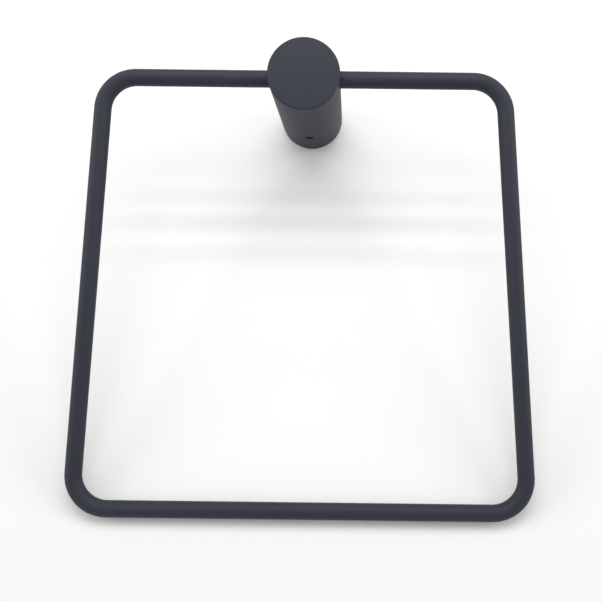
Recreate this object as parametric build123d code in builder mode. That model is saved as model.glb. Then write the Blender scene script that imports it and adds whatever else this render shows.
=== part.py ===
from build123d import *
import os
from math import radians, tan

# Towel ring: a bent rod carried by a turned post, which slides over a bracket screwed to the wall.
# Sizes are in millimetres. X runs along the wall, +Y into it and +Z up. The wall's face is Y = 0, and
# the origin is the centre of the post's base on that face.

# Ring: one round rod bent to a trapezoid, with its two ends meeting inside the post
rod_diameter = 7.0
ring_top_width = 167.0  # on the rod's axis, between the corners that the bends round off
ring_bottom_width = 190.0  # likewise
ring_height = 180.0  # from the top run's axis to the bottom run's
bend_radius = 14.0  # on the rod's axis
rod_end_gap = 1.0
rod_end_chamfer = 0.4

# Post: a turned bar, bored from the wall side and drilled across for the rod
post_diameter = 30.0
post_length = 70.0  # from the wall to the front face
ring_setback = 8.0  # from the front face to the top run's axis
front_edge_radius = 0.5
base_edge_chamfer = 0.4
base_rim = 2.3  # width of the post's foot round the bracket's flange
drill_angle = 118.0  # of the cone at the end of the stud's bore

# Wall bracket: a flange with two countersunk screw holes, and a stud with a turned groove
flange_thickness = 5.0
stud_diameter = 8.0
stud_past_groove = 5.5  # from the groove's middle to the stud's end
stud_tip_chamfer = 0.8
groove_depth = 0.8  # the groove is a right-angled V
wall_screw_hole = 4.0
countersink_angle = 90.0
countersink_land = 0.5  # flat left between a countersink and the stud, and outside it

# Grub screw: through the post's underside into the stud's groove
grub_from_wall = 22.5
grub_diameter = 4.0
grub_recess = 1.5  # from the post's underside up to the screw's end
grub_mouth_bevel = 0.2
grub_point_flat = 0.5  # diameter of the flat on its cone point
grub_key = 2.0  # across the flats of the hexagon socket
grub_key_depth = 2.5

# Lock screw: along the post's axis, pressing on both ends of the rod
lock_diameter = 5.0
lock_length = 8.0
lock_point_flat = 3.6
lock_key = 2.5
lock_key_depth = 3.0

# Both screws
screw_edge_chamfer = 0.3

# Clearances, on the radius or along the gap
rod_clearance = 0.05
stud_clearance = 0.1
stud_end_clearance = 1.0
flange_clearance = 0.2
thread_clearance = 0.05
point_clearance = 0.05

# Sizes that follow
rod_radius = rod_diameter / 2
post_radius = post_diameter / 2
ring_projection = post_length - ring_setback
recess_radius = post_radius - base_rim
recess_depth = flange_thickness + flange_clearance
flange_radius = recess_radius - flange_clearance
stud_radius = stud_diameter / 2
stud_length = grub_from_wall + stud_past_groove
stud_bore_radius = stud_radius + stud_clearance
stud_bore_depth = stud_length + stud_end_clearance
lock_hole_radius = lock_diameter / 2 + thread_clearance
drill_cone = (stud_bore_radius - lock_hole_radius) / tan(radians(drill_angle / 2))
grub_hole_radius = grub_diameter / 2 + thread_clearance
grub_point = stud_radius - groove_depth + grub_point_flat / 2 + point_clearance
grub_length = post_radius - grub_recess - grub_point
lock_point = ring_projection - rod_radius - point_clearance
countersink_radius = (flange_radius - stud_radius) / 2 - countersink_land
wall_screw_spacing = flange_radius + stud_radius

os.makedirs("parts", exist_ok=True)


# Ring
with BuildPart() as ring:
    with BuildLine(Plane.XZ.offset(ring_projection)) as rod_axis:
        FilletPolyline(
            (rod_end_gap / 2, 0),
            (ring_top_width / 2, 0),
            (ring_bottom_width / 2, -ring_height),
            (-ring_bottom_width / 2, -ring_height),
            (-ring_top_width / 2, 0),
            (-rod_end_gap / 2, 0),
            radius=bend_radius,
        )
    with BuildSketch(rod_axis.line ^ 0):
        Circle(rod_radius)
    sweep()
    chamfer(ring.faces().filter_by(Axis.X).edges(), rod_end_chamfer)
ring.part.label = "ring"
export_step(ring.part, "parts/ring.step")


# Post
with BuildPart() as post:
    with BuildSketch(Plane.XY):
        with BuildLine():
            Polyline(
                (0, -ring_projection),
                (0, -post_length),
                (post_radius, -post_length),
                (post_radius, 0),
                (recess_radius, 0),
                (recess_radius, -recess_depth),
                (stud_bore_radius, -recess_depth),
                (stud_bore_radius, -stud_bore_depth),
                (lock_hole_radius, -stud_bore_depth - drill_cone),
                (lock_hole_radius, -ring_projection),
                close=True,
            )
        make_face()
    revolve(axis=Axis.Y)
    rims = post.edges().filter_by(GeomType.CIRCLE).group_by(SortBy.RADIUS)[-1].sort_by(Axis.Y)
    fillet(rims[0], front_edge_radius)
    chamfer(rims[-1], base_edge_chamfer)
    # Cross bore for the rod
    with BuildSketch(Plane.YZ):
        with Locations((-ring_projection, 0)):
            Circle(rod_radius + rod_clearance)
    extrude(amount=post_radius, both=True, mode=Mode.SUBTRACT)
    # Tapped hole for the grub screw, from the underside into the stud's bore
    with Locations(Plane(origin=(0, -grub_from_wall, -post_radius), z_dir=(0, 0, -1))):
        CounterSinkHole(
            grub_hole_radius,
            grub_hole_radius + grub_mouth_bevel,
            depth=post_radius,
            counter_sink_angle=countersink_angle,
        )
post.part.label = "post"
export_step(post.part, "parts/post.step")


# Wall bracket
with BuildPart() as wall_bracket:
    with BuildSketch(Plane.XY):
        with BuildLine():
            Polyline(
                (0, 0),
                (flange_radius, 0),
                (flange_radius, -flange_thickness),
                (stud_radius, -flange_thickness),
                (stud_radius, -grub_from_wall + groove_depth),
                (stud_radius - groove_depth, -grub_from_wall),
                (stud_radius, -grub_from_wall - groove_depth),
                (stud_radius, -stud_length + stud_tip_chamfer),
                (stud_radius - stud_tip_chamfer, -stud_length),
                (0, -stud_length),
                close=True,
            )
        make_face()
    revolve(axis=Axis.Y)
    # Screw holes, countersunk in the flange's front
    with Locations(Plane.XZ.offset(flange_thickness)):
        with GridLocations(wall_screw_spacing, 0, 2, 1):
            CounterSinkHole(
                wall_screw_hole / 2,
                countersink_radius,
                depth=flange_thickness,
                counter_sink_angle=countersink_angle,
            )
wall_bracket.part.label = "wall_bracket"
export_step(wall_bracket.part, "parts/wall_bracket.step")


def set_screw(seat, diameter, length, point_flat, key, key_depth):
    """Headless screw with its point on the seat plane and its hexagon socket along the plane's normal."""
    with BuildPart() as screw:
        with BuildSketch(seat):
            Circle(diameter / 2)
        extrude(amount=length)
        ends = screw.faces().filter_by(GeomType.PLANE).sort_by(Axis(seat.origin, seat.z_dir))
        chamfer(ends[0].edges(), (diameter - point_flat) / 2)
        chamfer(ends[-1].edges(), screw_edge_chamfer)
        with BuildSketch(seat.offset(length)):
            RegularPolygon(key / 2, 6, major_radius=False)
        extrude(amount=-key_depth, mode=Mode.SUBTRACT)
    return screw


# Grub screw, pointing up at the stud
grub_screw = set_screw(
    Plane(origin=(0, -grub_from_wall, -grub_point), z_dir=(0, 0, -1)),
    grub_diameter,
    grub_length,
    grub_point_flat,
    grub_key,
    grub_key_depth,
)
grub_screw.part.label = "grub_screw"
export_step(grub_screw.part, "parts/grub_screw.step")

# Lock screw, pointing forwards at the rod
lock_screw = set_screw(
    Plane(origin=(0, -lock_point, 0), z_dir=(0, 1, 0)),
    lock_diameter,
    lock_length,
    lock_point_flat,
    lock_key,
    lock_key_depth,
)
lock_screw.part.label = "lock_screw"
export_step(lock_screw.part, "parts/lock_screw.step")
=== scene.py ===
"""Towel ring: a bent rod in a turned post, which slides over a wall bracket and locks with a set screw.

Lengths are in metres. The origin is where the post's axis meets the wall's face, with X along the wall,
Y into it and Z up.
"""

import logging
import math
from abc import ABC, abstractmethod
from collections.abc import Callable
from dataclasses import dataclass
from enum import Enum
from functools import cached_property

import bmesh
import bpy
from mathutils import Euler, Matrix, Vector


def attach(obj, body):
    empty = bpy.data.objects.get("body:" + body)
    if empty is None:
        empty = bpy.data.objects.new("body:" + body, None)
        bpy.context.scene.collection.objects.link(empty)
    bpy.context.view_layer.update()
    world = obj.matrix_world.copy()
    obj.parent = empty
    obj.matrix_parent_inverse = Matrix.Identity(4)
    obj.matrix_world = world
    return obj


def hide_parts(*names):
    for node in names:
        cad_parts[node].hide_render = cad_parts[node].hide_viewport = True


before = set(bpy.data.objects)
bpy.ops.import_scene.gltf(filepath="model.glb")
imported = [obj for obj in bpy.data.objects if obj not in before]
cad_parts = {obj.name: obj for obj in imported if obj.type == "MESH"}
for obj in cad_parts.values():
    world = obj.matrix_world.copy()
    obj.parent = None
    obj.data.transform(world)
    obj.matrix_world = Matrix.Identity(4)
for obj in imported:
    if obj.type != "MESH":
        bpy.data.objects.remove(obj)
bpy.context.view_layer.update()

LOG = logging.getLogger("towel_ring")
BODY = "root"
MM = 0.001
TINY = 0.01 * MM  # vertices nearer than this to a place are there
WELD = 0.001 * MM  # vertices nearer than this to each other are one
ON_CUT = WELD / 100  # vertices nearer than this to a flat cut are on it
SPARE = 1.0 * MM  # how far a cutter stands past what it cuts
CREASE = math.radians(32.0)  # edges sharper than this stay sharp
QUARTER_TURN = math.pi / 2
FULL_TURN = 2 * math.pi
HEXAGON = 6
THREAD_DEPTH = 0.6134  # of the pitch
THREAD_LAND = 0.125  # flat of the crest, of the pitch
THREAD_FLANK = math.radians(30.0)
ALONG_WALL = Vector((1.0, 0.0, 0.0))
INTO_WALL = Vector((0.0, 1.0, 0.0))
UP = Vector((0.0, 0.0, 1.0))
WHITE = (1.0, 1.0, 1.0, 1.0)
MIDDLE = 0.5  # mean of a noise, and the step between a test's 0 and 1
MIX_DARK, MIX_LIGHT, MIX_COLOUR = 6, 7, 2  # a colour mix's sockets, by number because names repeat

Colour = tuple[float, float, float]
Profile = list[tuple[float, float]]


class Slot(Enum):
    """Material slots of the part."""

    COAT = "matte_black_coat"
    STEEL = "plain_steel"
    BLACKENED = "blackened_steel"


class Cut(Enum):
    """What a cutter leaves of the piece that it meets."""

    AWAY = "DIFFERENCE"
    INSIDE = "INTERSECT"


class Ray(Enum):
    """Rays that show the surroundings, as against those that only carry their light."""

    CAMERA = "Is Camera Ray"
    GLOSSY = "Is Glossy Ray"
    TRANSMISSION = "Is Transmission Ray"


class Output(Enum):
    """Output nodes of the two kinds of node tree."""

    MATERIAL = "ShaderNodeOutputMaterial"
    WORLD = "ShaderNodeOutputWorld"


class Wire:
    """A node's output that takes part in Python arithmetic. Each operator adds one Math node."""

    def __init__(self, tree: bpy.types.NodeTree, socket: bpy.types.NodeSocket) -> None:
        """Wraps one output socket of a node tree."""
        self.tree = tree
        self.socket = socket

    def _math(self, operation: str, first: "Wire | float", second: "Wire | float") -> "Wire":
        """Adds a Math node on two values.

        Args:
            operation: the Math node's operation.
            first: its first value or link.
            second: its second value or link.

        Returns:
            The node's result.
        """
        node = self.tree.nodes.new("ShaderNodeMath")
        node.operation = operation
        for socket, value in zip(node.inputs, (first, second)):
            if isinstance(value, Wire):
                self.tree.links.new(value.socket, socket)
            else:
                socket.default_value = value
        return Wire(self.tree, node.outputs[0])

    def __add__(self, other: "Wire | float") -> "Wire":
        """self + other"""
        return self._math("ADD", self, other)

    def __radd__(self, other: float) -> "Wire":
        """other + self"""
        return self._math("ADD", other, self)

    def __sub__(self, other: "Wire | float") -> "Wire":
        """self - other"""
        return self._math("SUBTRACT", self, other)

    def __rsub__(self, other: float) -> "Wire":
        """other - self"""
        return self._math("SUBTRACT", other, self)

    def __mul__(self, other: "Wire | float") -> "Wire":
        """self * other"""
        return self._math("MULTIPLY", self, other)

    def __rmul__(self, other: float) -> "Wire":
        """other * self"""
        return self._math("MULTIPLY", other, self)

    def __gt__(self, other: float) -> "Wire":
        """1 where self is more than other"""
        return self._math("GREATER_THAN", self, other)


@dataclass(frozen=True)
class Texture:
    """One scale of a finish's unevenness: a noise, the height it stands for and its effect on gloss."""

    size: float
    layers: float
    depth: float = 0.0
    dulling: float = 0.0

    def dull(self, noise: Wire) -> Wire:
        """What this texture's noise adds to the roughness, none on average."""
        return (noise - MIDDLE) * self.dulling


class Sheet:
    """The node tree of a material or of the world, filled from Python."""

    def __init__(self, owner: bpy.types.Material | bpy.types.World) -> None:
        """Starts an empty node tree.

        Args:
            owner: the material or world.
        """
        owner.use_nodes = True
        self.tree = owner.node_tree
        self.tree.nodes.clear()

    def node(self, kind: str, settings: dict, sockets: dict) -> bpy.types.Node:
        """Adds any node.

        Args:
            kind: the node's type.
            settings: its own settings, which are set first.
            sockets: values or links of its sockets, by name or number.

        Returns:
            The node.
        """
        node = self.tree.nodes.new(kind)
        for name, value in settings.items():
            setattr(node, name, value)
        for key, value in sockets.items():
            if isinstance(value, Wire):
                self.tree.links.new(value.socket, node.inputs[key])
            else:
                node.inputs[key].default_value = value
        return node

    def add(
        self,
        kind: str,
        settings: dict | None = None,
        sockets: dict | None = None,
        output: str | int = 0,
    ) -> Wire:
        """Adds any node, as the method above does, and gives its output of this name or number."""
        return Wire(self.tree, self.node(kind, settings or {}, sockets or {}).outputs[output])

    def place(self) -> Wire:
        """The point on the piece, in metres from the row's origin."""
        return self.add("ShaderNodeTexCoord", output="Object")

    def noise(self, place: Wire, texture: Texture) -> Wire:
        """Adds a texture's noise, read at these coordinates: a value about MIDDLE."""
        sockets = {"Vector": place, "Scale": 1 / texture.size, "Detail": texture.layers}
        return self.add("ShaderNodeTexNoise", {}, sockets, "Fac")

    def tone(self, share: Wire, colour: Colour, spread: float) -> Wire:
        """Varies a colour from darker to lighter.

        Args:
            share: 0 for the darkest, 1 for the lightest.
            colour: the colour in the middle.
            spread: how far it goes each way, as a share of the colour.

        Returns:
            The varied colour.
        """
        dark, light = ([channel * factor for channel in colour] for factor in (1 - spread, 1 + spread))
        sockets = {"Factor": share, MIX_DARK: (*dark, 1.0), MIX_LIGHT: (*light, 1.0)}
        return self.add("ShaderNodeMix", {"data_type": "RGBA"}, sockets, MIX_COLOUR)

    def bump(self, height: Wire) -> Wire:
        """Turns a height in metres into a bent normal."""
        return self.add("ShaderNodeBump", {}, {"Height": height, "Distance": 1.0, "Strength": 1.0})

    def principled(self, sockets: dict) -> Wire:
        """Adds the main shader with these sockets."""
        return self.add("ShaderNodeBsdfPrincipled", {}, sockets)

    def mix(self, share: Wire, first: Wire, second: Wire) -> Wire:
        """Mixes two shaders: a share of 0 gives the first, 1 the second."""
        return self.add("ShaderNodeMixShader", {}, {0: share, 1: first, 2: second})

    def seen(self) -> Wire:
        """1 for a ray that shows the surroundings, 0 for one that only carries their light."""
        return sum(self.add("ShaderNodeLightPath", output=ray.value) for ray in Ray) > MIDDLE

    def close(self, kind: Output, surface: Wire) -> None:
        """Links the finished shader to the tree's output."""
        self.node(kind.value, {}, {"Surface": surface})


@dataclass(frozen=True)
class Finish(ABC):
    """A finish, whose material is made once."""

    name: str

    @abstractmethod
    def shader(self, sheet: Sheet) -> Wire:
        """Builds the finish's shader.

        Args:
            sheet: the material's empty node tree.

        Returns:
            The shader.
        """

    @cached_property
    def material(self) -> bpy.types.Material:
        """Makes the finish's material, the first time that it is asked for.

        Returns:
            The material.
        """
        material = bpy.data.materials.new(self.name)
        sheet = Sheet(material)
        sheet.close(Output.MATERIAL, self.shader(sheet))
        return material


@dataclass(frozen=True)
class PartFinish(Finish):
    """A finish of one of the part's material slots."""

    slot: Slot


@dataclass(frozen=True)
class PowderCoat(PartFinish):
    """Fine matte powder coat: an even dark film with a sandy grain and a faint orange peel."""

    name: str = "powder_coat"
    slot: Slot = Slot.COAT
    colour: Colour = (0.0184, 0.0204, 0.033)
    spread: float = 0.4
    roughness: float = 0.57
    gloss: float = 0.33
    grain: Texture = Texture(size=0.3 * MM, layers=3.0, depth=0.07 * MM, dulling=0.25)
    peel: Texture = Texture(size=1.6 * MM, layers=1.0, depth=0.05 * MM)
    cloud: Texture = Texture(size=14.0 * MM, layers=2.0, dulling=0.08)
    cloud_share: float = 0.6  # of the colour's variation, the rest being grain

    def shader(self, sheet: Sheet) -> Wire:
        """Builds the coat: grain and clouds in colour and gloss, grain and peel in height.

        Args:
            sheet: the material's empty node tree.

        Returns:
            The shader.
        """
        place = sheet.place()
        grain = sheet.noise(place, self.grain)
        peel = sheet.noise(place, self.peel)
        cloud = sheet.noise(place, self.cloud)
        tint = cloud * self.cloud_share + grain * (1 - self.cloud_share)
        return sheet.principled(
            {
                "Base Color": sheet.tone(tint, self.colour, self.spread),
                "Roughness": self.roughness + self.cloud.dull(cloud) + self.grain.dull(grain),
                "Normal": sheet.bump(grain * self.grain.depth + peel * self.peel.depth),
                "Specular IOR Level": self.gloss,
            }
        )


@dataclass(frozen=True)
class TurnedSteel(PartFinish):
    """Bare steel from the lathe: fine rings and broader bands round the axis, and a little dullness."""

    name: str = "turned_steel"
    slot: Slot = Slot.STEEL
    colour: Colour = (0.52, 0.52, 0.53)
    spread: float = 0.34
    roughness: float = 0.34
    feed: Texture = Texture(size=0.16 * MM, layers=1.0, depth=0.006 * MM, dulling=0.1)
    band: Texture = Texture(size=0.9 * MM, layers=2.0, depth=0.02 * MM, dulling=0.35)
    cloud: Texture = Texture(size=6.0 * MM, layers=3.0, dulling=0.16)
    cloud_share: float = 0.3  # of the colour's variation, the rest being bands

    def shader(self, sheet: Sheet) -> Wire:
        """Builds the steel: rings and bands follow the radius on a face and the length on a side.

        Args:
            sheet: the material's empty node tree.

        Returns:
            The shader.
        """
        place = sheet.place()
        off_axis = ALONG_WALL + UP
        across = sheet.add("ShaderNodeVectorMath", {"operation": "MULTIPLY"}, {0: place, 1: off_axis})
        radius = sheet.add("ShaderNodeVectorMath", {"operation": "LENGTH"}, {0: across}, "Value")
        along = sheet.add("ShaderNodeSeparateXYZ", {}, {0: place}, "Y")
        tool_path = sheet.add("ShaderNodeCombineXYZ", {}, {"X": radius, "Y": along})
        rings = sheet.noise(tool_path, self.feed)
        bands = sheet.noise(tool_path, self.band)
        cloud = sheet.noise(place, self.cloud)
        tint = cloud * self.cloud_share + bands * (1 - self.cloud_share)
        dullness = self.cloud.dull(cloud) + self.band.dull(bands) + self.feed.dull(rings)
        return sheet.principled(
            {
                "Base Color": sheet.tone(tint, self.colour, self.spread),
                "Metallic": 1.0,
                "Roughness": self.roughness + dullness,
                "Normal": sheet.bump(rings * self.feed.depth + bands * self.band.depth),
            }
        )


@dataclass(frozen=True)
class BlackenedSteel(PartFinish):
    """Blackened set screw steel, lightly oiled, so that its sheen is uneven."""

    name: str = "oiled_black_steel"
    slot: Slot = Slot.BLACKENED
    colour: Colour = (0.035, 0.035, 0.037)
    spread: float = 0.32
    metallic: float = 0.6
    roughness: float = 0.36
    blotch: Texture = Texture(size=0.9 * MM, layers=3.0, dulling=0.3)
    scale: Texture = Texture(size=0.12 * MM, layers=2.0, depth=0.004 * MM)

    def shader(self, sheet: Sheet) -> Wire:
        """Builds the blackening: blotches in colour and gloss, and fine scale.

        Args:
            sheet: the material's empty node tree.

        Returns:
            The shader.
        """
        place = sheet.place()
        blotch = sheet.noise(place, self.blotch)
        scale = sheet.noise(place, self.scale)
        return sheet.principled(
            {
                "Base Color": sheet.tone(blotch, self.colour, self.spread),
                "Metallic": self.metallic,
                "Roughness": self.roughness + self.blotch.dull(blotch),
                "Normal": sheet.bump(scale * self.scale.depth),
            }
        )


@dataclass(frozen=True)
class TableCloth(Finish):
    """The table's plain white: whiter to look at than in the light it gives back, and clear from below."""

    name: str = "white_table"
    colour: Colour = (0.8, 0.8, 0.8)
    glow: float = 0.03

    def shader(self, sheet: Sheet) -> Wire:
        """Builds the white.

        Args:
            sheet: the material's empty node tree.

        Returns:
            The shader.
        """
        cloth = sheet.add("ShaderNodeBsdfDiffuse", {}, {"Color": (*self.colour, 1.0)})
        white = sheet.add("ShaderNodeBsdfDiffuse", {}, {"Color": WHITE})
        glow = sheet.add("ShaderNodeEmission", {}, {"Color": WHITE, "Strength": self.glow})
        shown = sheet.add("ShaderNodeAddShader", {}, {0: white, 1: glow})
        below = sheet.add("ShaderNodeNewGeometry", output="Backfacing")
        clear = sheet.add("ShaderNodeBsdfTransparent")
        return sheet.mix(below, sheet.mix(sheet.seen(), cloth, shown), clear)


class Bench:
    """One mesh on the bench, worked in edit mode by the same steps as by hand."""

    def __init__(self, name: str) -> None:
        """Starts a mesh as one vertex at the origin: a small plane merged at its middle.

        Args:
            name: name of the new object.
        """
        bpy.ops.object.select_all(action="DESELECT")
        bpy.ops.mesh.primitive_plane_add(size=MM)
        self.piece = bpy.context.object
        self.piece.name = name
        self.piece.data.name = name
        bpy.ops.object.mode_set(mode="EDIT")
        bpy.ops.mesh.select_mode(type="VERT")
        bpy.ops.mesh.merge(type="CENTER")

    def extrude(self, step: Vector) -> None:
        """Extrudes what is selected by a step."""
        bpy.ops.mesh.extrude_region_move(TRANSFORM_OT_translate={"value": step})

    def draw(self, points: list[Vector]) -> None:
        """Draws a line from the first point through the others, from the single vertex.

        Args:
            points: the line's points, in order.
        """
        bpy.ops.transform.translate(value=points[0])
        for start, end in zip(points, points[1:]):
            self.extrude(end - start)

    def spin(self, angle: float, centre: Vector, axis: Vector, steps: int) -> None:
        """Turns what is selected about an axis, by the right hand, and leaves its far end selected."""
        bpy.ops.mesh.spin(steps=steps, angle=-angle, center=centre, axis=axis)

    def pick_edges(self, test: Callable[[Vector], bool]) -> None:
        """Selects only the edges whose two ends pass a test.

        Args:
            test: the test of an end's place.
        """
        bpy.ops.mesh.select_mode(type="EDGE")
        bpy.ops.mesh.select_all(action="DESELECT")
        mesh = bmesh.from_edit_mesh(self.piece.data)
        for edge in mesh.edges:
            edge.select_set(all(test(end.co) for end in edge.verts))
        bmesh.update_edit_mesh(self.piece.data)

    def bevel_rim(self, radius: float, y: float, width: float, segments: int = 1) -> None:
        """Breaks a round edge of a turned solid: one segment is a chamfer, more are a rounding."""
        self.pick_edges(lambda end: math.dist((math.hypot(end.x, end.z), end.y), (radius, y)) < TINY)
        bpy.ops.mesh.bevel(offset=width, offset_type="OFFSET", segments=segments, affect="EDGES")

    def slice(self, level: float, keep_above: bool) -> None:
        """Cuts the mesh flat across Y and closes the cut.

        Args:
            level: Y of the cut.
            keep_above: True to keep what is above it.
        """
        bpy.ops.mesh.select_all(action="SELECT")
        bpy.ops.mesh.bisect(
            plane_co=INTO_WALL * level,
            plane_no=INTO_WALL,
            use_fill=True,
            clear_inner=keep_above,
            clear_outer=not keep_above,
            threshold=ON_CUT,
        )

    def weld(self) -> None:
        """Merges doubles and points the faces outwards."""
        bpy.ops.mesh.select_all(action="SELECT")
        bpy.ops.mesh.remove_doubles(threshold=WELD)
        bpy.ops.mesh.normals_make_consistent(inside=False)

    def leave(self) -> bpy.types.Object:
        """Leaves edit mode, with the piece selected and active."""
        bpy.ops.object.mode_set(mode="OBJECT")
        return self.piece


def pick(piece: bpy.types.Object) -> None:
    """Selects one piece alone and makes it active.

    Args:
        piece: the piece.
    """
    bpy.ops.object.select_all(action="DESELECT")
    piece.select_set(True)
    bpy.context.view_layer.objects.active = piece


def lathe(name: str, profile: Profile, steps: int) -> Bench:
    """Turns a half section about the Y axis and leaves it in edit mode.

    Args:
        name: name of the new object.
        profile: (radius, Y) of the section's points, from the axis round to the axis again.
        steps: number of steps round the axis.

    Returns:
        The bench with the closed solid on it.
    """
    bench = Bench(name)
    bench.draw([ALONG_WALL * radius + INTO_WALL * y for radius, y in profile])
    bpy.ops.mesh.select_all(action="SELECT")
    bench.spin(FULL_TURN, Vector(), INTO_WALL, steps)
    bench.weld()
    return bench


def set_down(piece: bpy.types.Object, place: Matrix) -> bpy.types.Object:
    """Turns and moves a piece to its place, and puts the place into its mesh.

    Args:
        piece: a piece modelled at the origin.
        place: the turn and move.

    Returns:
        The piece, with its object at the origin again.
    """
    pick(piece)
    piece.matrix_world = place
    bpy.ops.object.transform_apply(location=True, rotation=True, scale=True)
    return piece


def cut(piece: bpy.types.Object, cutter: bpy.types.Object, kind: Cut = Cut.AWAY) -> None:
    """Cuts a piece with another solid, which is used up.

    Args:
        piece: the piece that is cut.
        cutter: the cutting solid.
        kind: what is left of the piece.
    """
    pick(piece)
    bpy.ops.object.modifier_add(type="BOOLEAN")
    modifier = piece.modifiers[-1]
    modifier.operation = kind.value
    modifier.solver = "EXACT"
    modifier.object = cutter
    bpy.ops.object.modifier_apply(modifier=modifier.name)
    bpy.data.objects.remove(cutter, do_unlink=True)


@dataclass
class Part(ABC):
    """A piece that stands for one solid of the part: it is built in its place, then dressed."""

    name: str
    node: str
    finish: PartFinish

    @abstractmethod
    def build(self) -> bpy.types.Object:
        """Makes the piece's mesh.

        Returns:
            The piece.
        """

    def dress(self, piece: bpy.types.Object) -> None:
        """Gives the built piece its shading, finish and place in the part.

        Args:
            piece: the built piece.
        """
        pick(piece)
        bpy.ops.object.shade_smooth_by_angle(angle=CREASE)
        piece.data.materials.clear()
        piece.data.materials.append(self.finish.material)
        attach(piece, BODY)
        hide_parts(self.node)
        LOG.info("%s: %d faces, %s", piece.name, len(piece.data.polygons), self.finish.name)


@dataclass
class Ring(Part):
    """The rod, bent to a trapezoid with its two ends meeting in the post."""

    rod_diameter: float = 7.0 * MM
    top_width: float = 167.0 * MM
    bottom_width: float = 190.0 * MM
    height: float = 180.0 * MM
    bend_radius: float = 14.0 * MM
    end_gap: float = 1.0 * MM
    end_chamfer: float = 0.4 * MM
    projection: float = 62.0 * MM
    round_steps: int = 48
    bend_steps: int = 24

    def corners(self) -> list[Vector]:
        """Lays out the rod's axis before it is bent.

        Returns:
            The axis's corners, from one end of the rod to the other.
        """
        top, bottom, gap = self.top_width / 2, self.bottom_width / 2, self.end_gap / 2
        low = -self.height
        flat = [(gap, 0.0), (top, 0.0), (bottom, low), (-bottom, low), (-top, 0.0), (-gap, 0.0)]
        return [Vector((x, -self.projection, z)) for x, z in flat]

    def build(self) -> bpy.types.Object:
        """Makes the rod: a round section, extruded along the runs and spun round the bends.

        Returns:
            The piece.
        """
        corners = self.corners()
        radius = self.rod_diameter / 2
        slope = ALONG_WALL * self.end_chamfer
        bench = Bench(self.name)
        # First end, flat with a chamfer
        bench.draw([corners[0], corners[0] + UP * (radius - self.end_chamfer)])
        bench.extrude(slope + UP * self.end_chamfer)
        bpy.ops.mesh.select_all(action="SELECT")
        bench.spin(FULL_TURN, corners[0], ALONG_WALL, self.round_steps)
        bench.weld()
        at = corners[0] + slope
        first_end = at.x - TINY
        bench.pick_edges(lambda end: end.x > first_end)
        # A straight run and a bend for each corner
        for before, corner, after in zip(corners, corners[1:], corners[2:]):
            run, out = (corner - before).normalized(), (after - corner).normalized()
            turn = run.angle(out)
            setback = self.bend_radius * math.tan(turn / 2)
            start = corner - run * setback
            bench.extrude(start - at)
            bench.spin(turn, start + INTO_WALL.cross(run) * self.bend_radius, INTO_WALL, self.bend_steps)
            at = corner + out * setback
        # Last run and the other end
        bench.extrude(corners[-1] - slope - at)
        bench.extrude(slope)
        share = 1 - self.end_chamfer / radius
        bpy.ops.transform.resize(value=(1.0, share, share), center_override=corners[-1])
        bpy.ops.mesh.edge_face_add()
        bench.weld()
        return bench.leave()

    def lock_seat(self, clearance: float) -> Matrix:
        """The place of a screw that points forwards at the rod's ends, with this gap to the rod."""
        return Matrix.Translation(INTO_WALL * (self.rod_diameter / 2 + clearance - self.projection))


@dataclass
class WallBracket(Part):
    """The bracket in the post: a flange with two countersunk holes, and a grooved stud."""

    flange_radius: float = 12.5 * MM
    flange_thickness: float = 5.0 * MM
    edge_break: float = 0.15 * MM
    edge_segments: int = 2
    stud_radius: float = 4.0 * MM
    stud_length: float = 28.0 * MM
    tip_chamfer: float = 0.8 * MM
    groove_at: float = 22.5 * MM
    groove_depth: float = 0.8 * MM
    hole_spacing: float = 16.5 * MM
    hole_radius: float = 2.0 * MM
    sink_radius: float = 3.75 * MM
    round_steps: int = 128
    drill_steps: int = 64

    def build(self) -> bpy.types.Object:
        """Turns the bracket and drills its two screw holes.

        Returns:
            The piece.
        """
        profile = [
            (0.0, 0.0),
            (self.flange_radius, 0.0),
            (self.flange_radius, -self.flange_thickness),
            (self.stud_radius, -self.flange_thickness),
            (self.stud_radius, -self.groove_at + self.groove_depth),
            (self.stud_radius - self.groove_depth, -self.groove_at),
            (self.stud_radius, -self.groove_at - self.groove_depth),
            (self.stud_radius, -self.stud_length + self.tip_chamfer),
            (self.stud_radius - self.tip_chamfer, -self.stud_length),
            (0.0, -self.stud_length),
        ]
        bench = lathe(self.name, profile, self.round_steps)
        for y in (0.0, -self.flange_thickness):
            bench.bevel_rim(self.flange_radius, y, self.edge_break, self.edge_segments)
        bench.weld()
        bracket = bench.leave()
        for across in (-self.hole_spacing / 2, self.hole_spacing / 2):
            cut(bracket, self.screw_drill(across))
        return bracket

    def screw_drill(self, across: float) -> bpy.types.Object:
        """The countersinking drill of one screw hole.

        Args:
            across: the hole's place along the wall.

        Returns:
            The drill.
        """
        front = -self.flange_thickness
        profile = [
            (0.0, front - SPARE),
            (self.sink_radius, front - SPARE),
            (self.sink_radius, front),
            (self.hole_radius, front + self.sink_radius - self.hole_radius),
            (self.hole_radius, SPARE),
            (0.0, SPARE),
        ]
        drill = lathe("screw_drill", profile, self.drill_steps).leave()
        return set_down(drill, Matrix.Translation(ALONG_WALL * across))

    def grub_seat(self, point: float) -> Matrix:
        """The place of a screw that points up at the stud's groove, its point this far below the axis."""
        turn = Matrix.Rotation(-QUARTER_TURN, 4, "X")
        return Matrix.Translation((0.0, -self.groove_at, -point)) @ turn


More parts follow.
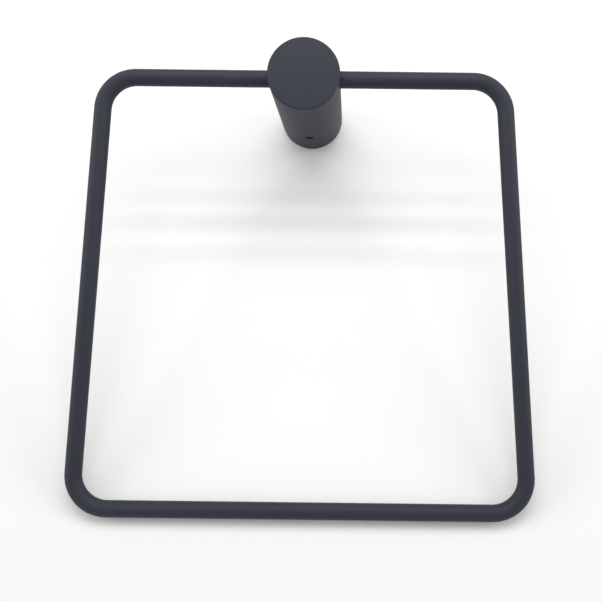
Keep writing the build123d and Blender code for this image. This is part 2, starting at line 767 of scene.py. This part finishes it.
@dataclass
class SetScrew(Part):
    """A headless screw with its thread, point and hexagon socket, modelled along Y from its point."""

    place: Matrix
    diameter: float
    length: float
    pitch: float
    point_flat: float
    key: float
    key_depth: float
    edge_chamfer: float = 0.3 * MM
    clearance: float = 0.05 * MM
    socket_tip: float = 0.3  # depth of the socket's blunt end, of its corner radius
    spare_turns: int = 2  # of thread at each end, which are cut off
    thread_steps: int = 40
    round_steps: int = 50

    def bar(self, name: str, grow: float, low: float, high: float) -> bpy.types.Object:
        """A threaded bar: one pitch of the thread's outline, screwed along Y and cut flat at both ends.

        Args:
            name: name of the new object.
            grow: how much larger it is than the screw, on the radius.
            low: Y of its lower end.
            high: Y of its upper end.

        Returns:
            The bar, as a closed solid.
        """
        crest = self.diameter / 2 + grow
        root = crest - THREAD_DEPTH * self.pitch
        land = THREAD_LAND * self.pitch + grow / 2
        flank = (crest - root) * math.tan(THREAD_FLANK)
        valley = (self.pitch - land) / 2 - flank
        start = (math.floor(low / self.pitch) - self.spare_turns) * self.pitch
        outline = [
            (root, 0.0),
            (root, valley),
            (crest, valley + flank),
            (crest, valley + flank + land),
            (root, self.pitch - valley),
            (root, self.pitch),
        ]
        bench = Bench(name)
        bench.draw([ALONG_WALL * radius + INTO_WALL * (start + y) for radius, y in outline])
        bar = bench.leave()
        bpy.ops.object.modifier_add(type="SCREW")
        screw = bar.modifiers[-1]
        screw.axis = "Y"
        screw.screw_offset = self.pitch
        screw.iterations = math.ceil((high - start) / self.pitch) + self.spare_turns
        screw.steps = screw.render_steps = self.thread_steps
        bpy.ops.object.modifier_apply(modifier=screw.name)
        bpy.ops.object.mode_set(mode="EDIT")
        bench.weld()
        bench.slice(low, keep_above=True)
        bench.slice(high, keep_above=False)
        bench.weld()
        return bench.leave()

    def blank(self) -> bpy.types.Object:
        """Turns the screw's outline without its thread, a little wider than the thread.

        Returns:
            The blank, along Y from its point.
        """
        radius = self.diameter / 2 + self.clearance
        chamfer = self.edge_chamfer + self.clearance
        profile = [
            (0.0, 0.0),
            (self.point_flat / 2, 0.0),
            (radius, radius - self.point_flat / 2),
            (radius, self.length - chamfer),
            (radius - chamfer, self.length),
            (0.0, self.length),
        ]
        return lathe("blank", profile, self.round_steps).leave()

    def punch(self) -> bpy.types.Object:
        """Makes the hexagonal punch for the socket, with its blunt tip.

        Returns:
            The punch, standing in the socket.
        """
        corner = self.key / 2 / math.cos(math.pi / HEXAGON)
        bottom = self.length - self.key_depth
        top = self.length + SPARE
        profile = [(0.0, bottom - corner * self.socket_tip), (corner, bottom), (corner, top), (0.0, top)]
        return lathe("punch", profile, HEXAGON).leave()

    def build(self) -> bpy.types.Object:
        """Makes the screw and sets it in its place.

        Returns:
            The piece.
        """
        screw = self.bar(self.name, 0.0, -SPARE, self.length + SPARE)
        cut(screw, self.blank(), Cut.INSIDE)
        cut(screw, self.punch())
        return set_down(screw, self.place)

    def tap(self, low: float, high: float) -> bpy.types.Object:
        """The tap for this screw's hole, in line with its thread, between two distances from its point."""
        return set_down(self.bar("tap", self.clearance, low, high), self.place)


@dataclass
class Post(Part):
    """The turned post, bored from the wall side, with the rod's cross bore and the grub screw's hole."""

    ring: Ring
    bracket: WallBracket
    grub: SetScrew
    lock: SetScrew
    diameter: float = 30.0 * MM
    length: float = 70.0 * MM
    front_radius: float = 0.5 * MM
    front_segments: int = 6
    base_chamfer: float = 0.4 * MM
    base_rim: float = 2.3 * MM
    drill_half_angle: float = math.radians(59.0)
    rod_clearance: float = 0.05 * MM
    stud_clearance: float = 0.1 * MM
    stud_end_clearance: float = 1.0 * MM
    flange_clearance: float = 0.2 * MM
    mouth_bevel: float = 0.2 * MM
    mouth_depth: float = 0.9 * MM
    round_steps: int = 192
    drill_steps: int = 96

    def section(self) -> Profile:
        """Draws the post's half section: its outside, then the recess for the flange and the bores.

        Returns:
            (radius, Y) of its points, from the axis at the front round to the axis again.
        """
        outer = self.diameter / 2
        recess = outer - self.base_rim
        recess_end = -self.bracket.flange_thickness - self.flange_clearance
        stud_bore = self.bracket.stud_radius + self.stud_clearance
        stud_end = -self.bracket.stud_length - self.stud_end_clearance
        lock_hole = self.lock.diameter / 2 + self.lock.clearance
        drill_cone = (stud_bore - lock_hole) / math.tan(self.drill_half_angle)
        return [
            (0.0, -self.length),
            (outer, -self.length),
            (outer, 0.0),
            (recess, 0.0),
            (recess, recess_end),
            (stud_bore, recess_end),
            (stud_bore, stud_end),
            (lock_hole, stud_end - drill_cone),
            (lock_hole, -self.ring.projection),
            (0.0, -self.ring.projection),
        ]

    def build(self) -> bpy.types.Object:
        """Turns the post, breaks its edges, and drills and taps its cross holes.

        Returns:
            The piece.
        """
        outer = self.diameter / 2
        bench = lathe(self.name, self.section(), self.round_steps)
        bench.bevel_rim(outer, -self.length, self.front_radius, self.front_segments)
        bench.bevel_rim(outer, 0.0, self.base_chamfer)
        bench.weld()
        post = bench.leave()
        point = -self.grub.place.translation.z
        tap = self.grub.tap(-SPARE, outer - point - self.mouth_depth / 2)
        for tool in (self.rod_drill(), self.grub_mouth(), tap):
            cut(post, tool)
        return post

    def rod_drill(self) -> bpy.types.Object:
        """Makes the drill for the rod, straight across the post and past both sides.

        Returns:
            The drill, in its place.
        """
        radius = self.ring.rod_diameter / 2 + self.rod_clearance
        reach = self.diameter / 2 + SPARE
        profile = [(0.0, -reach), (radius, -reach), (radius, reach), (0.0, reach)]
        drill = lathe("rod_drill", profile, self.drill_steps).leave()
        turn = Matrix.Rotation(QUARTER_TURN, 4, "Z")
        return set_down(drill, Matrix.Translation(-INTO_WALL * self.ring.projection) @ turn)

    def grub_mouth(self) -> bpy.types.Object:
        """Makes the drill that opens the mouth of the grub screw's hole past the thread, and bevels it.

        Returns:
            The drill, in its place.
        """
        outer = self.diameter / 2
        hole = self.grub.diameter / 2 + self.grub.clearance
        mouth = hole + self.mouth_bevel
        profile = [
            (0.0, outer - self.mouth_depth),
            (hole, outer - self.mouth_depth),
            (hole, outer - self.mouth_bevel),
            (mouth, outer),
            (mouth, outer + SPARE),
            (0.0, outer + SPARE),
        ]
        drill = lathe("grub_mouth", profile, self.drill_steps).leave()
        return set_down(drill, self.bracket.grub_seat(0.0))


@dataclass
class Table:
    """The white table that the ring lies on, touching its bottom rail and the edge of the post's base."""

    ring: Ring
    post: Post
    finish: TableCloth
    size: float = 6.0

    @property
    def touch(self) -> float:
        """Z of the edge of the post's base, where its chamfer ends."""
        return self.post.base_chamfer - self.post.diameter / 2

    @property
    def tilt(self) -> float:
        """Works out the table's angle to the wall, touching the post's base and the bottom rail.

        Returns:
            The angle, in radians.
        """
        drop = self.ring.height + self.touch
        reach = math.hypot(self.ring.projection, drop)
        return math.atan2(self.ring.projection, drop) - math.asin(self.ring.rod_diameter / 2 / reach)

    def normal(self) -> Vector:
        """The table's upward direction."""
        return Vector((0.0, -math.cos(self.tilt), math.sin(self.tilt)))

    def far(self) -> Vector:
        """The direction along the table, away from the viewer."""
        return Vector((0.0, math.sin(self.tilt), math.cos(self.tilt)))

    def point(self, far: float) -> Vector:
        """The point on the table this far beyond the edge of the post's base."""
        return UP * self.touch + self.far() * far

    def build(self) -> None:
        """Adds the table top and its finish."""
        bpy.ops.object.select_all(action="DESELECT")
        turn = Euler((QUARTER_TURN - self.tilt, 0.0, 0.0))
        bpy.ops.mesh.primitive_plane_add(size=self.size, location=self.point(0.0), rotation=turn)
        top = bpy.context.object
        top.name = "table"
        top.data.materials.append(self.finish.material)


@dataclass(frozen=True)
class Lamp:
    """A soft lamp over the table: where it hangs, its size and its level."""

    name: str
    side: float  # degrees from straight up, to the right
    far: float  # degrees from straight up, away from the viewer
    distance: float
    length: float
    width: float
    level: float  # 1 lights a white table to full white

    def build(self, table: Table, aim: Vector) -> None:
        """Hangs the lamp over the table, facing a point on it.

        Args:
            table: the table.
            aim: the point that it faces.
        """
        slopes = [math.tan(math.radians(angle)) for angle in (self.side, self.far)]
        lean = Vector((*slopes, 1.0)).normalized()
        back = ALONG_WALL * lean.x + table.far() * lean.y + table.normal() * lean.z
        data = bpy.data.lights.new(self.name, "AREA")
        data.shape = "RECTANGLE"
        data.size, data.size_y = self.length, self.width
        # A lamp of power p makes a white table show p * lean.z / (pi * distance)**2
        data.energy = self.level * math.pi**2 * self.distance**2 / lean.z
        lamp = bpy.data.objects.new(self.name, data)
        lamp.location = aim + back * self.distance
        lamp.rotation_euler = (-back).to_track_quat("-Z", "Y").to_euler()
        lamp.visible_camera = False
        bpy.context.scene.collection.objects.link(lamp)


@dataclass(frozen=True)
class Studio:
    """Soft light all round, a softbox close over the post, panels at both sides and strips beyond."""

    sky: float = 0.415
    aim: float = -80.0 * MM  # from the edge of the post's base, along the table
    lamps: tuple[Lamp, ...] = (
        Lamp("softbox", side=0.0, far=23.4, distance=0.327, length=0.3, width=0.15, level=0.2),
        Lamp("panel_left", side=-60.0, far=15.0, distance=1.2, length=0.5, width=0.5, level=0.105),
        Lamp("panel_right", side=60.0, far=15.0, distance=1.2, length=0.5, width=0.5, level=0.105),
        Lamp("strip_near", side=0.0, far=20.6, distance=1.5, length=1.8, width=0.08, level=0.08),
        Lamp("strip_middle", side=0.0, far=30.9, distance=1.5, length=1.8, width=0.08, level=0.13),
        Lamp("strip_far", side=0.0, far=40.3, distance=1.5, length=1.8, width=0.08, level=0.095),
    )

    def build(self, table: Table) -> None:
        """Adds the lamps and the world.

        Args:
            table: the table that they light.
        """
        aim = table.point(self.aim)
        for lamp in self.lamps:
            lamp.build(table, aim)
        world = bpy.data.worlds.new("studio")
        sheet = Sheet(world)
        light = sheet.add("ShaderNodeBackground", {}, {"Color": WHITE, "Strength": self.sky})
        white = sheet.add("ShaderNodeBackground", {}, {"Color": WHITE, "Strength": 1.0})
        sheet.close(Output.WORLD, sheet.mix(sheet.seen(), light, white))
        bpy.context.scene.world = world
        bpy.context.scene.view_settings.view_transform = "Standard"


@dataclass(frozen=True)
class Camera:
    """The camera, almost square to the wall's face and a little to the right of the post."""

    place: tuple[float, float, float] = (19.72 * MM, -354.365 * MM, -95.755 * MM)
    turn: tuple[float, float, float] = (90.842, -0.6764, 0.0466)  # degrees
    lens: float = 41.9346  # millimetres, as is the sensor
    sensor: float = 36.0
    shift: tuple[float, float] = (-0.07895, -0.00445)  # of the picture's width
    clip: float = 10.0 * MM

    def build(self) -> None:
        """Adds the camera and makes it the scene's."""
        data = bpy.data.cameras.new("camera")
        data.sensor_width = self.sensor
        data.lens = self.lens
        data.shift_x, data.shift_y = self.shift
        data.clip_start = self.clip
        camera = bpy.data.objects.new("camera", data)
        camera.location = self.place
        camera.rotation_euler = [math.radians(angle) for angle in self.turn]
        bpy.context.scene.collection.objects.link(camera)
        bpy.context.scene.camera = camera


def main() -> None:
    """Builds and dresses the pieces in order, then the table, lamps and camera."""
    logging.basicConfig(level=logging.INFO, format="%(message)s")
    coat, steel, black = PowderCoat(), TurnedSteel(), BlackenedSteel()
    ring = Ring("bent_rod", "ring", coat)
    bracket = WallBracket("turned_bracket", "wall_bracket", steel)
    grub = SetScrew(
        "threaded_grub",
        "grub_screw",
        black,
        place=bracket.grub_seat(point=3.5 * MM),
        diameter=4.0 * MM,
        length=10.0 * MM,
        pitch=0.7 * MM,
        point_flat=0.5 * MM,
        key=2.0 * MM,
        key_depth=2.5 * MM,
    )
    lock = SetScrew(
        "threaded_lock",
        "lock_screw",
        black,
        place=ring.lock_seat(clearance=0.05 * MM),
        diameter=5.0 * MM,
        length=8.0 * MM,
        pitch=0.8 * MM,
        point_flat=3.6 * MM,
        key=2.5 * MM,
        key_depth=3.0 * MM,
    )
    post = Post("turned_post", "post", coat, ring, bracket, grub, lock)
    for part in (ring, post, bracket, grub, lock):
        part.dress(part.build())
    table = Table(ring, post, TableCloth())
    table.build()
    Studio().build(table)
    Camera().build()


if __name__ == "__main__":
    main()
